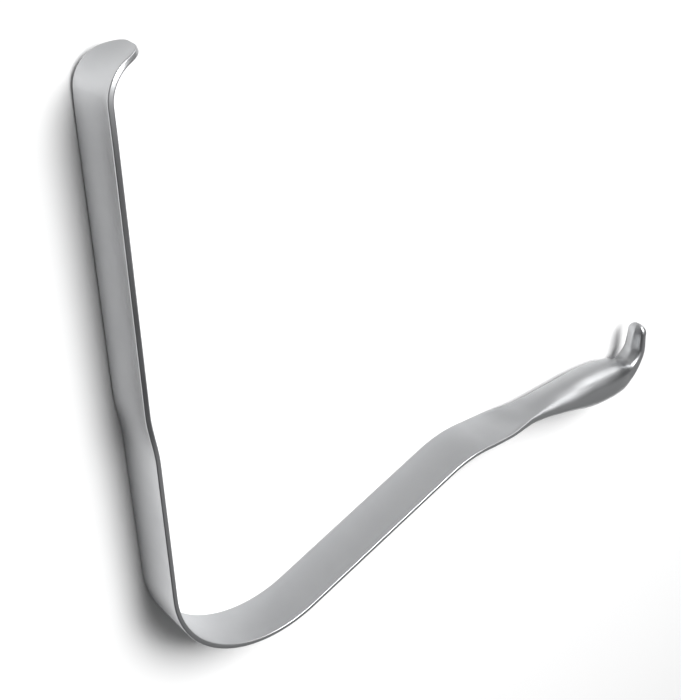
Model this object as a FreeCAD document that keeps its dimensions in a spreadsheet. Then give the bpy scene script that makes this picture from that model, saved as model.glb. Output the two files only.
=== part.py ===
import FreeCAD, Part
import math
import os
import Sketcher

# A long-bladed hand lever for holding tissue aside, forged and bent from one steel strip.
# It lies on the edge of the strip: the bends are all in the plane of the table, the strip's
# width stands up along Z, the blade runs along +Y to its lip and the grip runs along +X.
# The origin is on the strip's lower edge, where the neck of the blade enters the large bend.

Vector = FreeCAD.Vector

SIZES = {
    # The strip that everything is made from, and the rounding of its edges
    "strip_width": 20.0,
    "strip_thickness": 1.9,
    "edge_radius": 0.45,
    # The blade, from the neck up to the lip
    "neck_length": 62.0,
    "runout_length": 20.0,
    "blade_length": 88.2,
    "blade_width": 19.4,
    "dish_radius": 30.0,
    "blade_lean": 0.5,
    # The lip: a tongue that tapers, turns over towards the grip and ends round
    "lip_lead": 15.0,
    "lip_bend_radius": 10.1,
    "lip_turn": 73.0,
    "lip_flat": 5.9,
    "lip_power": 2.76,
    # The large bend, the rising shank and the crank that turns down to the grip
    "bend_radius": 46.5,
    "shank_rise": 17.9,
    "shank_length": 78.6,
    "crank_radius": 49.2,
    "grip_fall": 9.4,
    # The grip's axis and the hook that stands up from its end
    "grip_length": 92.5,
    "hook_radius": 12.0,
    "hook_length": 12.5,
    "hook_dome": 4.5,
}

# The grip's sections in order: the place along its axis (in mm on the grip, as a share of the
# hook's bend or stem after it), then width, width of the top face, height of that face's edges
# above the axis, rise of its middle above them (below zero where it is scooped out), depth of
# the belly, slope of the shoulders, shoulder radius and belly radius
COLUMNS = ("place", "width", "face", "top", "rise", "belly", "slope", "shoulder", "round")
STATIONS = {
    "start": ("grip", 0.0, 20.0, 18.6, 0.95, -0.01, 0.95, 0.2, 0.45, 0.45),
    "lead": ("grip", 4.0, 19.84, 18.4, 1.15, -0.1, 0.8, 0.4, 0.45, 0.45),
    "scoop": ("grip", 8.5, 19.76, 17.9, 1.4, -0.22, 0.5, 0.7, 0.45, 0.45),
    "cheek": ("grip", 13.0, 19.4, 17.0, 1.75, -0.55, 0.25, 1.0, 0.5, 0.5),
    "ramp": ("grip", 18.0, 18.2, 14.8, 2.35, -0.7, 0.05, 2.0, 0.6, 0.6),
    "lift": ("grip", 24.0, 16.2, 12.4, 3.1, 0.2, -0.1, 4.0, 0.8, 0.7),
    "waist": ("grip", 30.0, 14.7, 12.3, 3.62, 0.42, -0.1, 8.0, 1.2, 0.9),
    "swell": ("grip", 37.0, 14.9, 11.0, 4.7, 0.82, 0.4, 17.0, 2.6, 1.7),
    "neck": ("grip", 44.0, 15.9, 10.8, 5.79, 1.2, 1.5, 25.0, 4.2, 3.3),
    "fore": ("grip", 52.0, 17.0, 11.0, 6.84, 1.53, 2.34, 31.0, 6.0, 3.8),
    "middle": ("grip", 60.0, 18.0, 11.4, 7.88, 1.8, 4.49, 35.0, 7.5, 6.0),
    "full": ("grip", 68.0, 18.6, 11.9, 8.57, 1.88, 6.9, 35.0, 7.6, 8.3),
    "heavy": ("grip", 77.0, 18.8, 11.9, 9.02, 1.88, 7.8, 35.0, 7.8, 9.0),
    "back": ("grip", 85.0, 17.8, 11.4, 8.95, 1.79, 7.6, 35.0, 7.3, 8.4),
    "root": ("hook", 0.02, 15.2, 9.54, 8.7, 1.41, 6.9, 33.0, 6.0, 7.2),
    "throat": ("hook", 0.36, 12.0, 7.5, 6.84, 1.0, 5.6, 30.0, 4.3, 5.5),
    "heel": ("hook", 0.7, 10.6, 1.8, 4.35, 0.12, 4.8, 19.0, 2.2, 4.6),
    "stem": ("stem", 0.02, 10.2, 1.2, 2.28, 0.08, 3.9, 19.0, 1.8, 3.2),
    "finger": ("stem", 0.64, 9.4, 1.0, 1.98, 0.06, 3.0, 19.0, 1.7, 2.2),
}

doc = FreeCAD.newDocument("retractor")
sheet = doc.addObject("Spreadsheet::Sheet", "sizes")
VALUES = dict(SIZES)
for station, numbers in STATIONS.items():
    for column, number in zip(COLUMNS, numbers[1:]):
        VALUES[f"{station}_{column}"] = number
for row, (name, value) in enumerate(VALUES.items(), start=1):
    sheet.set(f"A{row}", name)
    sheet.set(f"B{row}", str(value))
    sheet.setAlias(f"B{row}", name)
doc.recompute()

body = doc.addObject("PartDesign::Body", "retractor_body")
body.Label = "retractor_body"
base_plane = next(f for f in body.Origin.OriginFeatures if f.Role == "XY_Plane")


def value(expression):
    """Return the number that an expression over the sheet gives."""
    result = body.evalExpression(expression)
    return float(getattr(result, "Value", result))


class Outline:
    """Lines and arcs drawn one after another in a sketch, with dimensions from the sheet."""

    def __init__(self, sketch):
        """Start an outline in a sketch."""
        self.sketch = sketch
        self.edges = []
        self.rules = []
        self.bound = []

    def line(self, start, end):
        """Draw a straight edge and return its number."""
        index = self.sketch.addGeometry(Part.LineSegment(start, end), False)
        self.edges.append((index, 1, 2))
        return index

    def arc(self, start, middle, end):
        """Draw an arc through three points and return its number."""
        index = self.sketch.addGeometry(Part.Arc(start, middle, end), False)
        left_turn = (middle - start).cross(end - middle).z > 0
        self.edges.append((index, 1, 2) if left_turn else (index, 2, 1))
        return index

    def join(self, corners=(), closed=True):
        """Join each edge to the next, tangent except at the corners given."""
        count = len(self.edges)
        for place in range(count if closed else count - 1):
            first = self.edges[place]
            second = self.edges[(place + 1) % count]
            kind = "Coincident" if place in corners else "Tangent"
            self.rule(kind, first[0], first[2], second[0], second[1])

    def rule(self, kind, *places):
        """Add one rule about shape."""
        self.rules.append(Sketcher.Constraint(kind, *places))

    def bind(self, kind, *places, to):
        """Add one dimension that an expression over the sheet drives."""
        number = value(to)
        if kind == "Angle":
            number = math.radians(number)
        self.bound.append((len(self.rules), to))
        self.rules.append(Sketcher.Constraint(kind, *places, number))

    def finish(self):
        """Hand the rules to the sketch and bind its dimensions."""
        first = self.sketch.ConstraintCount
        self.sketch.addConstraint(self.rules)
        for index, expression in self.bound:
            self.sketch.setExpression(f"Constraints[{first + index}]", expression)


def turned(vector, angle):
    """Return a vector of the plane turned by an angle in radians."""
    c, s = math.cos(angle), math.sin(angle)
    return Vector(vector.x * c - vector.y * s, vector.x * s + vector.y * c, 0)


# The centre line's runs, drawn from the lip's tip down the blade, round the bend and up to the hook
PATH = [
    ("lip_flat", "line", "sizes.lip_flat", "-90 - sizes.blade_lean - sizes.lip_turn"),
    ("lip_bend", "arc", "sizes.lip_bend_radius", "sizes.lip_turn"),
    ("lip_lead", "line", "sizes.lip_lead", "-90 - sizes.blade_lean"),
    ("blade", "line", "sizes.blade_length", "-90 - sizes.blade_lean"),
    ("runout", "line", "sizes.runout_length", "-90"),
    ("neck", "line", "sizes.neck_length", "-90"),
    ("bend", "arc", "sizes.bend_radius", "90 + sizes.shank_rise"),
    ("shank", "line", "sizes.shank_length", "sizes.shank_rise"),
    ("crank", "arc", "sizes.crank_radius", "-sizes.shank_rise - sizes.grip_fall"),
    ("grip", "line", "sizes.grip_length", "-sizes.grip_fall"),
    ("hook", "arc", "sizes.hook_radius", "90 + sizes.grip_fall"),
    ("stem", "line", "sizes.hook_length", "90"),
]
EDGE_OF = {run[0]: f"Edge{number}" for number, run in enumerate(PATH, start=1)}


def draw_centre_line():
    """Draw the middle line of the whole strip in the plane of its bends."""
    sketch = body.newObject("Sketcher::SketchObject", "centre_line")
    sketch.AttachmentSupport = [(base_plane, "")]
    sketch.MapMode = "FlatFace"
    sketch.setExpression("AttachmentOffset.Base.z", "sizes.strip_width / 2")
    outline = Outline(sketch)
    place, heading, points = Vector(0, 0, 0), 0.0, {}
    for name, kind, length, angle in PATH:
        if kind == "line":
            heading = math.radians(value(angle))
            end = place + Vector(math.cos(heading), math.sin(heading), 0) * value(length)
            points[name] = (place, None, end)
        else:
            turn = math.radians(value(angle))
            side = math.copysign(value(length), turn)
            centre = place + Vector(-math.sin(heading), math.cos(heading), 0) * side
            out = place - centre
            end = centre + turned(out, turn)
            points[name] = (place, centre + turned(out, turn / 2), end)
            heading += turn
        place = end
    home = points["neck"][2]
    drawn = {}
    for name, kind, length, angle in PATH:
        start, middle, end = points[name]
        if kind == "line":
            drawn[name] = outline.line(start - home, end - home)
            outline.bind("Distance", drawn[name], to=length)
            outline.bind("Angle", drawn[name], to=angle)
        else:
            drawn[name] = outline.arc(start - home, middle - home, end - home)
            outline.bind("Radius", drawn[name], to=length)
    outline.join(corners=(drawn["lip_lead"], drawn["blade"], drawn["runout"]), closed=False)
    outline.rule("Coincident", drawn["neck"], 2, -1, 1)
    outline.finish()
    sketch.Visibility = False
    return sketch


def section(name, run, share):
    """Start a sketch square to the centre line, at a share of one of its runs."""
    sketch = body.newObject("Sketcher::SketchObject", name)
    sketch.AttachmentSupport = [(centre_line, EDGE_OF[run])]
    sketch.MapMode = "NormalToEdge"
    sketch.setExpression("MapPathParameter", share)
    sketch.Visibility = False
    return sketch


def flat_section(name, run, share):
    """Draw the plain strip's section: a rectangle with rounded corners."""
    outline = Outline(section(name, run, share))
    x, y = value("sizes.strip_thickness / 2"), value("sizes.strip_width / 2")
    r = value("sizes.edge_radius")
    diagonal = r * (1 - math.sqrt(0.5))
    corners = [(-1, -1), (-1, 1), (1, 1), (1, -1)]
    sides, arcs = [], []
    for number, (sx, sy) in enumerate(corners):
        along_y = number % 2 == 0
        nx, ny = corners[(number + 1) % 4]
        start = Vector(sx * x, sy * (y - r), 0) if along_y else Vector(sx * (x - r), sy * y, 0)
        end = Vector(nx * x, ny * (y - r), 0) if along_y else Vector(nx * (x - r), ny * y, 0)
        turn = Vector(nx * (x - r), ny * y, 0) if along_y else Vector(nx * x, ny * (y - r), 0)
        sides.append(outline.line(start, end))
        middle = Vector(nx * (x - diagonal), ny * (y - diagonal), 0)
        arcs.append(outline.arc(end, middle, turn))
    outline.join()
    for number, side in enumerate(sides):
        outline.rule("Vertical" if number % 2 == 0 else "Horizontal", side)
    outline.bind("Radius", arcs[0], to="sizes.edge_radius")
    for other in arcs[1:]:
        outline.rule("Equal", arcs[0], other)
    outline.bind("DistanceX", sides[0], 1, -1, 1, to="sizes.strip_thickness / 2")
    outline.bind("DistanceX", -1, 1, sides[2], 1, to="sizes.strip_thickness / 2")
    outline.bind("DistanceY", -1, 1, sides[1], 1, to="sizes.strip_width / 2")
    outline.bind("DistanceY", sides[3], 1, -1, 1, to="sizes.strip_width / 2")
    outline.finish()
    return outline.sketch


def dished_section(name, run, share, radius, half_width, half_thickness="sizes.strip_thickness / 2"):
    """Draw a curled section: two faces about one centre, with rounded edges."""
    outline = Outline(section(name, run, share))
    big, w = value(radius), value(half_width)
    t = value(half_thickness)
    corner = f"min(sizes.edge_radius; 0.47 * 2 * ({half_thickness}))"
    r = value(corner)
    rim_angle = math.asin(w / big)

    def polar(distance, angle, side):
        return Vector(big - distance * math.cos(angle), side * distance * math.sin(angle), 0)

    def rounding(face, sign):
        reach = big + sign * t - sign * r
        lean = math.asin(r / reach)
        centre_angle = rim_angle - lean
        on_rim = math.sqrt(reach * reach - r * r)
        between = (Vector(-math.cos(centre_angle), math.sin(centre_angle), 0) * sign
                   + Vector(math.sin(rim_angle), math.cos(rim_angle), 0))
        between.normalize()
        return centre_angle, on_rim, polar(reach, centre_angle, 1) + between * r

    outer_angle, outer_rim, outer_mid = rounding(big + t, 1)
    inner_angle, inner_rim, inner_mid = rounding(big - t, -1)

    def low(vector):
        return Vector(vector.x, -vector.y, 0)

    face_out = outline.arc(polar(big + t, outer_angle, -1), Vector(-t, 0, 0), polar(big + t, outer_angle, 1))
    c1 = outline.arc(polar(big + t, outer_angle, 1), outer_mid, polar(outer_rim, rim_angle, 1))
    rim_high = outline.line(polar(outer_rim, rim_angle, 1), polar(inner_rim, rim_angle, 1))
    c2 = outline.arc(polar(inner_rim, rim_angle, 1), inner_mid, polar(big - t, inner_angle, 1))
    face_in = outline.arc(polar(big - t, inner_angle, 1), Vector(t, 0, 0), polar(big - t, inner_angle, -1))
    c3 = outline.arc(polar(big - t, inner_angle, -1), low(inner_mid), polar(inner_rim, rim_angle, -1))
    rim_low = outline.line(polar(inner_rim, rim_angle, -1), polar(outer_rim, rim_angle, -1))
    c4 = outline.arc(polar(outer_rim, rim_angle, -1), low(outer_mid), polar(big + t, outer_angle, -1))
    outline.join()
    outline.rule("Coincident", face_out, 3, face_in, 3)
    outline.rule("PointOnObject", face_out, 3, -1)
    outline.bind("DistanceX", -1, 1, face_out, 3, to=radius)
    outline.bind("Radius", face_out, to=f"{radius} + ({half_thickness})")
    outline.bind("Radius", face_in, to=f"{radius} - ({half_thickness})")
    for index in (c1, c2, c3, c4):
        outline.bind("Radius", index, to=corner)
    lean = f"asin(({half_width}) / ({radius}))"
    outline.bind("Angle", rim_high, to=f"-{lean}")
    outline.bind("Angle", rim_low, to=f"180 deg + {lean}")
    outline.rule("PointOnObject", face_out, 3, rim_high)
    outline.rule("PointOnObject", face_out, 3, rim_low)
    outline.finish()
    return outline.sketch


def grip_section(name, run, share, scale=None):
    """Draw the grip's section: a scooped or domed top face, sloping shoulders and a round belly."""
    outline = Outline(section(f"{name}_section" if scale is None else f"{name}_{scale[0]}", run, share))
    f = "1" if scale is None else scale[1]
    size = {column: f"sizes.{name}_{column}" for column in COLUMNS}
    half = f"{size['width']} / 2 * ({f})"
    ridge = f"{size['face']} / 2 * ({f})"
    top = f"({size['top']} * (1 + ({f})) - {size['belly']} * (1 - ({f}))) / 2"
    belly = f"({size['belly']} * (1 + ({f})) - {size['top']} * (1 - ({f}))) / 2"
    shoulder, under = f"{size['shoulder']} * ({f})", f"{size['round']} * ({f})"
    rise = f"{size['rise']} * ({f})"
    w, wr, t, b = value(half), value(ridge), value(top), value(belly)
    rs, rb, d = value(shoulder), value(under), value(rise)
    a = math.radians(value(size["slope"]))
    corner = t - (w - wr) * math.tan(a)
    cut = rs * math.tan((math.pi / 2 - a) / 2)
    between = Vector(math.cos(a), 1 + math.sin(a), 0)
    between.normalize()

    def at(height, across):
        return Vector(-height, across, 0)

    def side(sign):
        """Return the points of one side, from the ridge down to the belly's flat."""
        return [
            at(t, sign * wr),
            at(corner + cut * math.sin(a), sign * (w - cut * math.cos(a))),
            at(corner - cut + rs * between.x, sign * (w - rs + rs * between.y)),
            at(corner - cut, sign * w),
            at(rb - b, sign * w),
            at(rb - b - rb * math.sqrt(0.5), sign * (w - rb + rb * math.sqrt(0.5))),
            at(-b, sign * (w - rb)),
        ]

    p, q = side(1), side(-1)
    face = outline.arc(q[0], at(t + d, 0), p[0])
    slope_high = outline.line(p[0], p[1])
    arc_high = outline.arc(p[1], p[2], p[3])
    flank_high = outline.line(p[3], p[4])
    belly_high = outline.arc(p[4], p[5], p[6])
    bottom = outline.line(p[6], q[6])
    belly_low = outline.arc(q[6], q[5], q[4])
    flank_low = outline.line(q[4], q[3])
    arc_low = outline.arc(q[3], q[2], q[1])
    slope_low = outline.line(q[1], q[0])
    outline.join(corners=(0, 9))
    outline.rule("Horizontal", flank_high)
    outline.rule("Horizontal", flank_low)
    outline.rule("Vertical", bottom)
    outline.bind("DistanceY", -1, 1, flank_high, 1, to=half)
    outline.bind("DistanceY", flank_low, 1, -1, 1, to=half)
    outline.bind("DistanceX", slope_high, 1, -1, 1, to=top)
    outline.bind("DistanceX", slope_low, 2, -1, 1, to=top)
    outline.bind("DistanceY", -1, 1, slope_high, 1, to=ridge)
    outline.bind("DistanceY", slope_low, 2, -1, 1, to=ridge)
    outline.bind("Radius", face, to=f"(({ridge}) ^ 2 + ({rise}) ^ 2) / (2 * abs({rise}))")
    outline.bind("Angle", slope_high, to=f"90 - {size['slope']}")
    outline.bind("Angle", slope_low, to=f"90 + {size['slope']}")
    outline.bind("Radius", arc_high, to=shoulder)
    outline.bind("Radius", arc_low, to=shoulder)
    outline.bind("Radius", belly_high, to=under)
    outline.bind("Radius", belly_low, to=under)
    if b >= 0:
        outline.bind("DistanceX", -1, 1, bottom, 1, to=belly)
    else:
        outline.bind("DistanceX", bottom, 1, -1, 1, to=f"-({belly})")
    outline.finish()
    return outline.sketch


def loft(name, sections):
    """Run a smooth solid through sections in order."""
    feature = body.newObject("PartDesign::AdditiveLoft", name)
    feature.Profile = sections[0]
    feature.Sections = sections[1:]
    body.Tip = feature
    return feature


def sweep(name, profile, runs):
    """Carry one section along runs of the centre line."""
    feature = body.newObject("PartDesign::AdditivePipe", name)
    feature.Profile = profile
    feature.Spine = (centre_line, [EDGE_OF[run] for run in runs])
    body.Tip = feature
    return feature


centre_line = draw_centre_line()
doc.recompute()

# The plain strip: neck, large bend, shank and crank
sweep("strip", flat_section("strip_section", "neck", "0"), ("neck", "bend", "shank", "crank"))

# The run-out, where the flat neck turns hollow as it becomes the blade
RUNOUT_SHARES = (0.82, 0.6, 0.36, 0.16, 0.0)
runout = [flat_section("runout_start", "runout", "1")]
for number, share in enumerate(RUNOUT_SHARES, start=1):
    grown = f"(1 - {share}) ^ 2 * (1 + 2 * {share})"
    runout.append(dished_section(
        f"runout_{number}", "runout", str(share), f"sizes.dish_radius / ({grown})",
        f"sizes.strip_width / 2 + (sizes.blade_width - sizes.strip_width) / 2 * {grown}"))
loft("runout", runout)

# The straight hollow blade
blade_start = dished_section("blade_section", "blade", "0", "sizes.dish_radius", "sizes.blade_width / 2")
sweep("blade", blade_start, ("blade",))

# The lip: the tongue narrows along its bend by one curve and ends in a rounded rim
BEND_ARC = "(sizes.lip_bend_radius * sizes.lip_turn * pi / 180)"
REACH = f"(sizes.lip_lead + {BEND_ARC} + sizes.lip_flat)"
LIP_PLACES = (
    [("lip_lead", share, f"(1 - {share}) * sizes.lip_lead") for share in (1.0, 0.6, 0.25)]
    + [("lip_bend", share, f"sizes.lip_lead + (1 - {share}) * {BEND_ARC}") for share in (1.0, 0.75, 0.5, 0.25)]
    + [("lip_flat", share, f"{REACH} - {share} * sizes.lip_flat")
       for share in (1.0, 0.75, 0.5, 0.3, 0.16, 0.07, 0.025, 0.004)]
)
lip = []
for number, (run, share, along) in enumerate(LIP_PLACES, start=1):
    narrowed = f"(1 - (({along}) / {REACH}) ^ sizes.lip_power) ^ (1 / sizes.lip_power)"
    left = f"min(sizes.edge_radius; {share} * sizes.lip_flat)" if run == "lip_flat" else "sizes.edge_radius"
    thin = f"sqrt(2 * sizes.edge_radius * ({left}) - ({left}) ^ 2)"
    lip.append(dished_section(
        f"lip_{number}", run, str(share), "sizes.dish_radius",
        f"sizes.blade_width / 2 * {narrowed}",
        f"sizes.strip_thickness / 2 - sizes.edge_radius + {thin}"))
loft("lip", lip)

# The grip, forged solid behind the crank, and the hook drawn out of its end
grip = []
for name, (run, *_) in STATIONS.items():
    share = f"sizes.{name}_place / sizes.grip_length" if run == "grip" else f"sizes.{name}_place"
    if name == "finger":
        share = "1 - sizes.hook_dome / sizes.hook_length"
    grip.append(grip_section(name, run, share))
for number, height in enumerate((0.35, 0.6, 0.79, 0.91, 0.975), start=1):
    share = f"1 - sizes.hook_dome / sizes.hook_length * (1 - {height})"
    grip.append(grip_section("finger", "stem", share, (number, f"sqrt(1 - {height} ^ 2)")))
loft("grip", grip)

doc.recompute()
for item in doc.Objects:
    if "Invalid" in item.State or "Error" in item.State:
        raise RuntimeError(f"{item.Name} did not build: {item.State}")
if body.Shape.isNull() or not body.Shape.isValid() or len(body.Shape.Solids) != 1:
    raise RuntimeError("the retractor is not one valid solid")
os.makedirs("parts", exist_ok=True)
body.Shape.exportStep(f"parts/{body.Label}.step")
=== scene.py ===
import logging
import math
from dataclasses import dataclass, field
from enum import Enum

import bmesh
import bpy
from mathutils import Matrix, Vector


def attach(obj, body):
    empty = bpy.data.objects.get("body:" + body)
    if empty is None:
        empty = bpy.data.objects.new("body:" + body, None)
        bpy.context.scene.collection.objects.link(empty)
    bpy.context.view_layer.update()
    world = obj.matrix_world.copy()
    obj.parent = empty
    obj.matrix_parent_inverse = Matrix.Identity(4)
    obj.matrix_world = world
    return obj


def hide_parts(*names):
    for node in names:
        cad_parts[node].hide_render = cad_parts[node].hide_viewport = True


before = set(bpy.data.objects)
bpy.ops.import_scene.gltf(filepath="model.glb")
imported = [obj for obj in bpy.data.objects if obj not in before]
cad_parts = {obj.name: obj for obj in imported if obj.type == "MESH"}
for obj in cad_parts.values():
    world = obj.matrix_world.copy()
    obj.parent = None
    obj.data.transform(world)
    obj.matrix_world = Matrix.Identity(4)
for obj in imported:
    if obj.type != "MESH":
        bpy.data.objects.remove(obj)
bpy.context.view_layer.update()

LOG = logging.getLogger("retractor")
MM = 0.001
NODE = "retractor_body"
SHOULDER_STEPS = 6
BELLY_STEPS = 8
# Shares of the sloping side that its own points stand at, and the most that the shoulder may take of it
SLOPE_SHARES = (0.06, 0.35, 0.7)
SHOULDER_ROOM = 0.96
# Shares of half the top face, closer together towards its edge
FACE_SHARES = (0.0, 0.2, 0.4, 0.6, 0.78, 0.9, 0.97, 1.0)
FLANK_SHARES = (0.33, 0.67)
BOTTOM_SHARES = (0.35, 0.7, 1.0)
# Shares of the edge radius at which the lip's rounded rim gets its rings
RIM_SHARES = (0.004, 0.03, 0.1, 0.22, 0.4, 0.65, 1.0)
DOME_STEPS = 10
FAIRING_STEPS = 6


def linear(hex_colour: str) -> tuple[float, float, float, float]:
    """Turn an sRGB hex colour into linear values.

    Args:
        hex_colour: The colour as six hex digits after a hash.

    Returns:
        Red, green, blue and an opaque alpha, all linear.
    """
    digits = hex_colour.lstrip("#")
    channels = []
    for place in range(0, 6, 2):
        c = int(digits[place:place + 2], 16) / 255
        channels.append(c / 12.92 if c <= 0.04045 else ((c + 0.055) / 1.055) ** 2.4)
    return (*channels, 1.0)


def per_object_unit(spacing_mm: float) -> float:
    """Return a texture scale in cycles per metre for a pattern of a real size.

    Args:
        spacing_mm: The distance from one feature of the pattern to the next.

    Returns:
        The scale that a texture node takes on Object coordinates in metres.
    """
    return 1.0 / (spacing_mm * MM)


def add_node(
    tree: bpy.types.NodeTree,
    kind: str,
    settings: dict[str, object] | None = None,
    inputs: dict[str | int, object] | None = None,
) -> bpy.types.Node:
    """Add one node, set it and link or fill its inputs.

    Args:
        tree: The node tree that gets the node.
        kind: The node's Blender type.
        settings: Values for the node's own settings.
        inputs: For each input socket, an output socket to link or a plain value.

    Returns:
        The new node.
    """
    node = tree.nodes.new(kind)
    for name, setting in (settings or {}).items():
        setattr(node, name, setting)
    for name, given in (inputs or {}).items():
        socket = node.inputs[name]
        if isinstance(given, bpy.types.NodeSocket):
            tree.links.new(given, socket)
        else:
            socket.default_value = given
    return node


@dataclass(frozen=True)
class SatinStainless:
    """Martensitic stainless steel, forged, ground and satin-finished with fine abrasive.

    The eye sees a soft, even sheen with blurred reflections, a faint grain from the abrasive,
    slow cloudy changes in the polish and a few hair-fine handling scratches.
    """

    name: str = "satin_ground_stainless"
    colour: str = "#CACBCC"
    cloud_colour: str = "#BFC0C2"
    roughness: float = 0.36
    roughness_spread: float = 0.04
    cloud_mm: float = 22.0
    grain_mm: float = 0.55
    grain_depth_mm: float = 0.004
    scratch_mm: float = 0.7
    scratch_depth: float = 0.04

    def build(self) -> bpy.types.Material:
        """Make the steel's material.

        Returns:
            The material, with its nodes linked.
        """
        material = bpy.data.materials.new(self.name)
        material.use_nodes = True
        tree = material.node_tree
        tree.nodes.clear()
        place = add_node(tree, "ShaderNodeTexCoord").outputs["Object"]
        clouds = add_node(tree, "ShaderNodeTexNoise", inputs={
            "Vector": place, "Scale": per_object_unit(self.cloud_mm), "Detail": 3.0, "Roughness": 0.55})
        colour = add_node(tree, "ShaderNodeMix", {"data_type": "RGBA"}, {
            0: clouds.outputs["Fac"], 6: linear(self.colour), 7: linear(self.cloud_colour)})
        # The abrasive's scratches run across the strip, so the grain is stretched along Z
        stretched = add_node(tree, "ShaderNodeMapping", {"vector_type": "POINT"}, {
            "Vector": place, "Scale": (1.0, 1.0, 0.08)})
        grain = add_node(tree, "ShaderNodeTexNoise", inputs={
            "Vector": stretched.outputs["Vector"], "Scale": per_object_unit(self.grain_mm),
            "Detail": 2.0, "Roughness": 0.6})
        polish = add_node(tree, "ShaderNodeMapRange", inputs={
            "Value": clouds.outputs["Fac"], "From Min": 0.3, "From Max": 0.7,
            "To Min": self.roughness - self.roughness_spread,
            "To Max": self.roughness + self.roughness_spread})
        slanted = add_node(tree, "ShaderNodeMapping", {"vector_type": "POINT"}, {
            "Vector": place, "Rotation": (0.35, 0.5, 0.9), "Scale": (0.03, 1.0, 1.0)})
        streaks = add_node(tree, "ShaderNodeTexNoise", inputs={
            "Vector": slanted.outputs["Vector"], "Scale": per_object_unit(self.scratch_mm), "Detail": 1.0})
        scratch = add_node(tree, "ShaderNodeMapRange", inputs={
            "Value": streaks.outputs["Fac"], "From Min": 0.68, "From Max": 0.74,
            "To Min": 0.0, "To Max": self.scratch_depth})
        worn = add_node(tree, "ShaderNodeMath", {"operation": "ADD"}, {
            0: polish.outputs["Result"], 1: scratch.outputs["Result"]})
        bump = add_node(tree, "ShaderNodeBump", inputs={
            "Height": grain.outputs["Fac"], "Strength": 0.35, "Distance": self.grain_depth_mm * MM})
        shader = add_node(tree, "ShaderNodeBsdfPrincipled", inputs={
            "Base Color": colour.outputs[2], "Metallic": 1.0, "Roughness": worn.outputs["Value"],
            "Normal": bump.outputs["Normal"]})
        add_node(tree, "ShaderNodeOutputMaterial", inputs={"Surface": shader.outputs["BSDF"]})
        return material


@dataclass(frozen=True)
class MattPaper:
    """Matt white paper under the object, plain and even."""

    name: str = "matt_white_paper"
    colour: str = "#F2F2F2"
    roughness: float = 0.9

    def build(self) -> bpy.types.Material:
        """Make the floor's material.

        Returns:
            The material, with its nodes linked.
        """
        material = bpy.data.materials.new(self.name)
        material.use_nodes = True
        tree = material.node_tree
        tree.nodes.clear()
        paper = add_node(tree, "ShaderNodeBsdfDiffuse", inputs={
            "Color": linear(self.colour), "Roughness": self.roughness})
        add_node(tree, "ShaderNodeOutputMaterial", inputs={"Surface": paper.outputs["BSDF"]})
        return material


@dataclass(frozen=True)
class Run:
    """One straight or bent run of the strip's centre line, in millimetres and degrees."""

    name: str
    length: float
    turn: float = 0.0
    kink: float = 0.0


@dataclass(frozen=True)
class CrossSection:
    """The shape across the strip or grip, in millimetres, with up towards the inside of the bends."""

    half: float
    face: float
    top: float
    rise: float
    belly: float
    slope: float
    shoulder: float
    under: float
    curl: float = 0.0

    def half_outline(self) -> list[tuple[float, float]]:
        """Work out one half of the outline.

        Returns:
            Heights and distances across, from the middle of the top to the middle of the belly.
        """
        slope = math.radians(self.slope)
        corner = self.top - (self.half - self.face) * math.tan(slope)
        turn = math.pi / 2 - slope
        room = (self.half - self.face) / math.cos(slope)
        shoulder = min(self.shoulder, SHOULDER_ROOM * room / math.tan(turn / 2))
        cut = shoulder * math.tan(turn / 2)
        points = []
        for share in FACE_SHARES:
            across = self.face * share
            points.append((self.top + self.rise * (1 - share ** 2), across))
        line_end = (corner + cut * math.sin(slope), self.half - cut * math.cos(slope))
        for share in SLOPE_SHARES:
            points.append((self.top + (line_end[0] - self.top) * share,
                           self.face + (line_end[1] - self.face) * share))
        centre = (corner - cut, self.half - shoulder)
        for step in range(SHOULDER_STEPS + 1):
            angle = slope + turn * step / SHOULDER_STEPS
            points.append((centre[0] + shoulder * math.cos(angle),
                           centre[1] + shoulder * math.sin(angle)))
        low = (self.under - self.belly, self.half - self.under)
        for share in FLANK_SHARES:
            points.append((centre[0] + (low[0] - centre[0]) * share, self.half))
        for step in range(BELLY_STEPS + 1):
            angle = math.pi / 2 * step / BELLY_STEPS
            points.append((low[0] - self.under * math.sin(angle),
                           low[1] + self.under * math.cos(angle)))
        for share in BOTTOM_SHARES:
            points.append((-self.belly, low[1] * (1 - share)))
        return points

    def ring(self) -> list[tuple[float, float]]:
        """Return the whole outline, curled, as heights and distances across."""
        half = self.half_outline()
        whole = half + [(up, -across) for up, across in reversed(half[1:-1])]
        if not self.curl:
            return whole
        radius = 1 / self.curl
        stretch = radius * math.asin(min(0.99, self.half / radius)) / self.half
        curled = []
        for up, across in whole:
            angle = across * stretch / radius
            curled.append(((radius + up) * math.cos(angle) - radius, (radius + up) * math.sin(angle)))
        return curled


def eased(share: float) -> float:
    """Return a share that starts and ends level."""
    share = min(1.0, max(0.0, share))
    return share * share * (3 - 2 * share)


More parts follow.
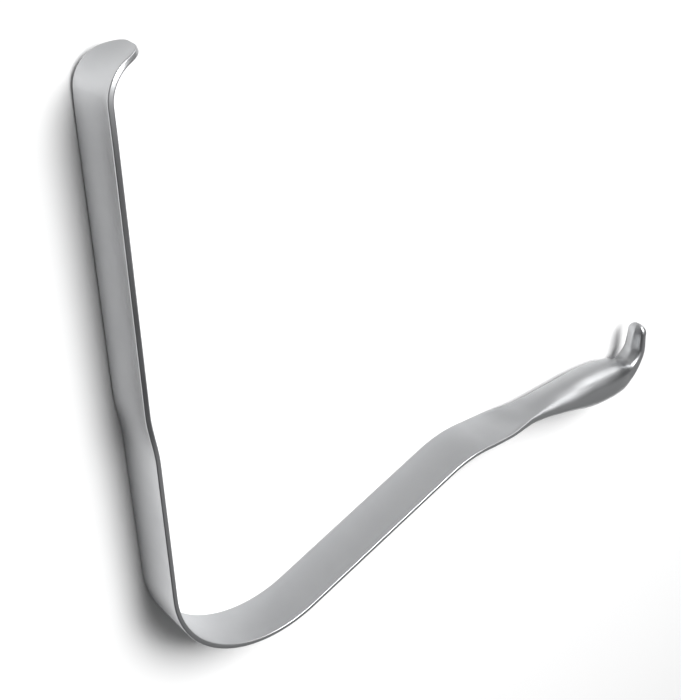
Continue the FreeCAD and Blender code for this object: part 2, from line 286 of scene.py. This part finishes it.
def through(places: list[float], values: list[float], place: float) -> float:
    """Run a smooth curve through values and read it at one place.

    Args:
        places: Where the values stand, rising.
        values: The values.
        place: Where to read the curve.

    Returns:
        The value of the curve, with no overshoot between neighbours.
    """
    last = len(places) - 1
    if place <= places[0]:
        return values[0]
    if place >= places[last]:
        return values[last]
    left = max(i for i in range(last) if places[i] <= place)
    steps = [places[i + 1] - places[i] for i in range(last)]
    rises = [(values[i + 1] - values[i]) / steps[i] for i in range(last)]

    def lean(i: int) -> float:
        if i == 0 or i == last or rises[i - 1] * rises[i] <= 0:
            return 0.0
        w1, w2 = 2 * steps[i] + steps[i - 1], steps[i] + 2 * steps[i - 1]
        return (w1 + w2) / (w1 / rises[i - 1] + w2 / rises[i])

    step = steps[left]
    u = (place - places[left]) / step
    a, b = values[left], values[left + 1]
    return (a * (1 + 2 * u) * (1 - u) ** 2 + b * u * u * (3 - 2 * u)
            + step * (lean(left) * u * (1 - u) ** 2 - lean(left + 1) * u * u * (1 - u)))


@dataclass
class Retractor:
    """The one-piece instrument: blade, lip, bend, shank, grip and hook in one steel strip."""

    finish: SatinStainless = field(default_factory=SatinStainless)
    strip_width: float = 20.0
    strip_thickness: float = 1.9
    edge_radius: float = 0.45
    blade_width: float = 19.4
    dish_radius: float = 30.0
    lip_power: float = 2.76
    hook_dome: float = 4.5
    runs: tuple[Run, ...] = (
        Run("lip_flat", 5.9),
        Run("lip_bend", 12.868, 73.0),
        Run("lip_lead", 15.0),
        Run("blade", 88.2),
        Run("runout", 20.0, kink=0.5),
        Run("neck", 62.0),
        Run("bend", 87.570, 107.9),
        Run("shank", 78.6),
        Run("crank", 23.443, -27.3),
        Run("grip", 92.5),
        Run("hook", 20.818, 99.4),
        Run("stem", 12.5),
    )
    # Grip sections: place after the crank, then half width, half width of the top face, its height,
    # the rise of its middle, belly, slope, shoulder radius and belly radius
    grip_stations: tuple[tuple[float, ...], ...] = (
        (0.0, 10.0, 9.3, 0.95, -0.01, 0.95, 0.2, 0.45, 0.45),
        (4.0, 9.92, 9.2, 1.15, -0.1, 0.8, 0.4, 0.45, 0.45),
        (8.5, 9.88, 8.95, 1.4, -0.22, 0.5, 0.7, 0.45, 0.45),
        (13.0, 9.7, 8.5, 1.75, -0.55, 0.25, 1.0, 0.5, 0.5),
        (18.0, 9.1, 7.4, 2.35, -0.7, 0.05, 2.0, 0.6, 0.6),
        (24.0, 8.1, 6.2, 3.1, 0.2, -0.1, 4.0, 0.8, 0.7),
        (30.0, 7.35, 6.15, 3.62, 0.42, -0.1, 8.0, 1.2, 0.9),
        (37.0, 7.45, 5.5, 4.7, 0.82, 0.4, 17.0, 2.6, 1.7),
        (44.0, 7.95, 5.4, 5.79, 1.2, 1.5, 25.0, 4.2, 3.3),
        (52.0, 8.5, 5.5, 6.84, 1.53, 2.34, 31.0, 6.0, 3.8),
        (60.0, 9.0, 5.7, 7.88, 1.8, 4.49, 35.0, 7.5, 6.0),
        (68.0, 9.3, 5.95, 8.57, 1.88, 6.9, 35.0, 7.6, 8.3),
        (77.0, 9.4, 5.95, 9.02, 1.88, 7.8, 35.0, 7.8, 9.0),
        (85.0, 8.9, 5.7, 8.95, 1.79, 7.6, 35.0, 7.3, 8.4),
        (92.9, 7.6, 4.77, 8.7, 1.41, 6.9, 33.0, 6.0, 7.2),
        (100.0, 6.0, 3.75, 6.84, 1.0, 5.6, 30.0, 4.3, 5.5),
        (107.1, 5.3, 0.9, 4.35, 0.12, 4.8, 19.0, 2.2, 4.6),
        (113.6, 5.1, 0.6, 2.28, 0.08, 3.9, 19.0, 1.8, 3.2),
        (121.3, 4.7, 0.5, 1.98, 0.06, 3.0, 19.0, 1.7, 2.2),
    )
    # Spacing of the rings, and the reach over which their turn is eased to each side
    step: float = 1.6
    fairing: float = 6.0
    # Plain rings keep this far from the lip's tip and from the hook's dome
    first_ring: float = 0.1
    dome_gap: float = 0.2
    # The flat face ends this far inside the strip's edge
    face_margin: float = 0.7
    # Heading of the blade in degrees: straight down, with its lean against the neck
    blade_heading: float = -90.5

    def starts(self) -> dict[str, float]:
        """Return how far along the centre line each run starts, in millimetres."""
        place, found = 0.0, {}
        for run in self.runs:
            found[run.name] = place
            place += run.length
        found["end"] = place
        return found

    def line_at(self, place: float) -> tuple[Vector, float]:
        """Return the centre line's point (mm, from the lip's tip) and heading (radians) at a place."""
        point, heading = Vector((0.0, 0.0)), math.radians(self.blade_heading - self.lip_turn())
        left = place
        for run in self.runs:
            heading += math.radians(run.kink)
            gone = min(left, run.length) if run.name != "stem" else left
            turn = math.radians(run.turn) * gone / run.length
            if abs(turn) > 1e-9:
                radius = gone / turn
                point = point + radius * Vector((math.sin(heading + turn) - math.sin(heading),
                                                 math.cos(heading) - math.cos(heading + turn)))
                heading += turn
            else:
                point = point + gone * Vector((math.cos(heading), math.sin(heading)))
            left -= gone
            if left <= 1e-9:
                break
        return point, heading

    def lip_turn(self) -> float:
        """Return the angle in degrees by which the lip is turned over."""
        return next(run.turn for run in self.runs if run.name == "lip_bend")

    def faired_heading(self, place: float) -> float:
        """Return the heading averaged over a short reach, so that no bend begins with a crease."""
        steps = range(-FAIRING_STEPS, FAIRING_STEPS + 1)
        near = [max(0.0, place + self.fairing * k / FAIRING_STEPS) for k in steps]
        return sum(self.line_at(spot)[1] for spot in near) / len(near)

    def section_at(self, place: float) -> CrossSection:
        """Return the shape across the strip at a place along the centre line."""
        at = self.starts()
        t, r = self.strip_thickness / 2, self.edge_radius
        wide = self.strip_width / 2
        flat = CrossSection(wide, wide - self.face_margin, t, 0.0, t, 0.0, r, r)
        if place >= at["grip"]:
            return self.grip_section(place - at["grip"])
        if place >= at["neck"]:
            return flat
        if place >= at["runout"]:
            share = eased((at["neck"] - place) / (at["neck"] - at["runout"]))
            half = self.strip_width / 2 + (self.blade_width - self.strip_width) / 2 * share
            return CrossSection(half, half - self.face_margin, t, 0.0, t, 0.0, r, r,
                                max(share, 1e-4) / self.dish_radius)
        reach = at["blade"]
        along = max(0.0, reach - place) / reach
        half = self.blade_width / 2 * (1 - along ** self.lip_power) ** (1 / self.lip_power)
        left = min(r, place)
        thin = t - r + math.sqrt(2 * r * left - left * left)
        corner = min(r, 0.94 * thin, 0.6 * half)
        face = max(0.3 * half, half - self.face_margin)
        return CrossSection(half, face, thin, 0.0, thin, 0.0, corner, corner, 1 / self.dish_radius)

    def grip_section(self, along: float) -> CrossSection:
        """Return the grip's or hook's shape at a distance after the crank."""
        places = [row[0] for row in self.grip_stations]
        read = [through(places, [row[k] for row in self.grip_stations], along) for k in range(1, 9)]
        half, face, top, rise, belly, slope, shoulder, under = read
        at = self.starts()
        dome_start = at["end"] - at["grip"] - self.hook_dome
        if along <= dome_start:
            return CrossSection(half, face, top, rise, belly, slope, shoulder, under)
        f = math.sqrt(max(0.0, 1 - ((along - dome_start) / self.hook_dome) ** 2))
        return CrossSection(half * f, face * f, (top * (1 + f) - belly * (1 - f)) / 2, rise * f,
                            (belly * (1 + f) - top * (1 - f)) / 2, slope, shoulder * f, under * f)

    def places(self) -> list[float]:
        """Return the places along the centre line that get a ring of the mesh."""
        at = self.starts()
        rim = [self.edge_radius * share for share in RIM_SHARES]
        found = list(rim)
        end = at["end"]
        dome = [end - self.hook_dome * (1 - math.sin(math.pi / 2 * k / DOME_STEPS))
                for k in range(DOME_STEPS)]
        names = [run.name for run in self.runs]
        for name, following in zip(names, names[1:] + ["end"]):
            length = at[following] - at[name]
            step = self.step / 2 if name in ("lip_flat", "lip_bend", "hook", "stem") else self.step
            count = max(1, math.ceil(length / step))
            found += [at[name] + length * k / count for k in range(count)]
        last = end - self.hook_dome - self.dome_gap
        found = [p for p in found if self.first_ring < p < last or p in rim]
        return sorted(set(found) | set(dome) | {end - 0.002 * self.hook_dome})

    def build(self) -> bpy.types.Object:
        """Draw the section along the centre line, round off both ends and dress the body.

        Returns:
            The body, in place of the solid's node.
        """
        at = self.starts()
        home, _ = self.line_at(at["bend"])
        bm = bmesh.new()
        edges: list[bmesh.types.BMEdge] = []
        for place in self.places():
            point = self.line_at(place)[0] - home
            heading = self.faired_heading(place)
            up = Vector((-math.sin(heading), math.cos(heading)))
            spots = []
            for rise, across in self.section_at(place).ring():
                spot = point + up * rise
                spots.append(Vector((spot.x, spot.y, across + self.strip_width / 2)) * MM)
            drawn = [bm.verts.new(spot) for spot in spots]
            loop = [bm.edges.new((drawn[k - 1], drawn[k])) for k in range(len(drawn))]
            if edges:
                bmesh.ops.bridge_loops(bm, edges=edges + loop)
            else:
                bm.faces.new(drawn)
            edges = loop
        bmesh.ops.contextual_create(bm, geom=edges)
        bmesh.ops.recalc_face_normals(bm, faces=bm.faces)
        mesh = bpy.data.meshes.new("retractor_steel")
        for face in bm.faces:
            face.smooth = True
        bm.to_mesh(mesh)
        bm.free()
        body = bpy.data.objects.new("retractor_steel", mesh)
        bpy.context.scene.collection.objects.link(body)
        self.dress(body)
        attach(body, "root")
        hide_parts(NODE)
        return body

    def dress(self, body: bpy.types.Object) -> None:
        """Give the body its steel finish."""
        body.data.materials.clear()
        body.data.materials.append(self.finish.build())


class Lamp(Enum):
    """The soft lamps: where each stands (m), its side (m) and its power (W)."""

    KEY = ((0.42, 0.91, 1.10), 0.9, 28.5)
    OVERHEAD = ((-0.1, 0.2, 1.5), 1.2, 2.0)
    SHEEN = ((1.25, 0.72, 0.27), 0.55, 2.2)
    FLANK = ((1.0, -0.85, 0.75), 1.4, 1.5)


@dataclass
class Studio:
    """The pale floor, the soft lamps and the camera at the photograph's viewing angle."""

    floor_side: float = 12.0
    aim: Vector = field(default_factory=lambda: Vector((0.13, 0.07, 0.01)))
    world_colour: str = "#C8CACC"
    world_strength: float = 0.10
    eye_mm: tuple[float, float, float] = (-158.71, 332.48, 300.24)
    right: tuple[float, float, float] = (0.75933959, -0.01429223, 0.65053757)
    down: tuple[float, float, float] = (-0.38742735, -0.81316178, 0.43435927)
    ahead: tuple[float, float, float] = (0.52278432, -0.58186223, -0.62300313)
    focal_pixels: float = 1300.0
    frame_pixels: tuple[int, int] = (681, 700)
    sensor_mm: float = 36.0

    def build(self) -> None:
        """Set up the whole studio."""
        self.lay_floor()
        self.hang_lamps()
        self.light_world()
        self.stand_camera()
        bpy.context.scene.view_settings.view_transform = "Standard"

    def lay_floor(self) -> None:
        """Lay the white paper that the object rests on."""
        mesh = bpy.data.meshes.new("paper_floor")
        bm = bmesh.new()
        bmesh.ops.create_grid(bm, x_segments=1, y_segments=1, size=self.floor_side / 2)
        bm.to_mesh(mesh)
        bm.free()
        floor = bpy.data.objects.new("paper_floor", mesh)
        bpy.context.scene.collection.objects.link(floor)
        mesh.materials.append(MattPaper().build())

    def hang_lamps(self) -> None:
        """Hang each soft lamp and turn it to the object."""
        for lamp in Lamp:
            place, side, power = lamp.value
            light = bpy.data.lights.new(f"{lamp.name.lower()}_lamp", "AREA")
            light.shape = "SQUARE"
            light.size = side
            light.energy = power
            holder = bpy.data.objects.new(light.name, light)
            holder.location = place
            holder.rotation_euler = (self.aim - Vector(place)).to_track_quat("-Z", "Y").to_euler()
            bpy.context.scene.collection.objects.link(holder)

    def light_world(self) -> None:
        """Fill the room with an even grey."""
        world = bpy.data.worlds.new("studio_room")
        world.use_nodes = True
        background = world.node_tree.nodes["Background"]
        background.inputs["Color"].default_value = linear(self.world_colour)
        background.inputs["Strength"].default_value = self.world_strength
        bpy.context.scene.world = world

    def stand_camera(self) -> None:
        """Stand the camera where the photograph was taken."""
        camera = bpy.data.cameras.new("studio_camera")
        camera.sensor_fit = "VERTICAL"
        camera.sensor_height = self.sensor_mm
        camera.lens = self.sensor_mm * self.focal_pixels / self.frame_pixels[1]
        camera.clip_start = 0.01
        holder = bpy.data.objects.new("studio_camera", camera)
        turn = Matrix((self.right, [-c for c in self.down], [-c for c in self.ahead])).transposed()
        holder.matrix_world = Matrix.Translation(Vector(self.eye_mm) * MM) @ turn.to_4x4()
        bpy.context.scene.collection.objects.link(holder)
        bpy.context.scene.camera = holder


def main() -> None:
    """Build the instrument and the studio."""
    logging.basicConfig(level=logging.INFO, format="%(name)s: %(message)s")
    body = Retractor().build()
    LOG.info("%s: %d faces", body.name, len(body.data.polygons))
    Studio().build()
    LOG.info("studio ready")


if __name__ == "__main__":
    main()
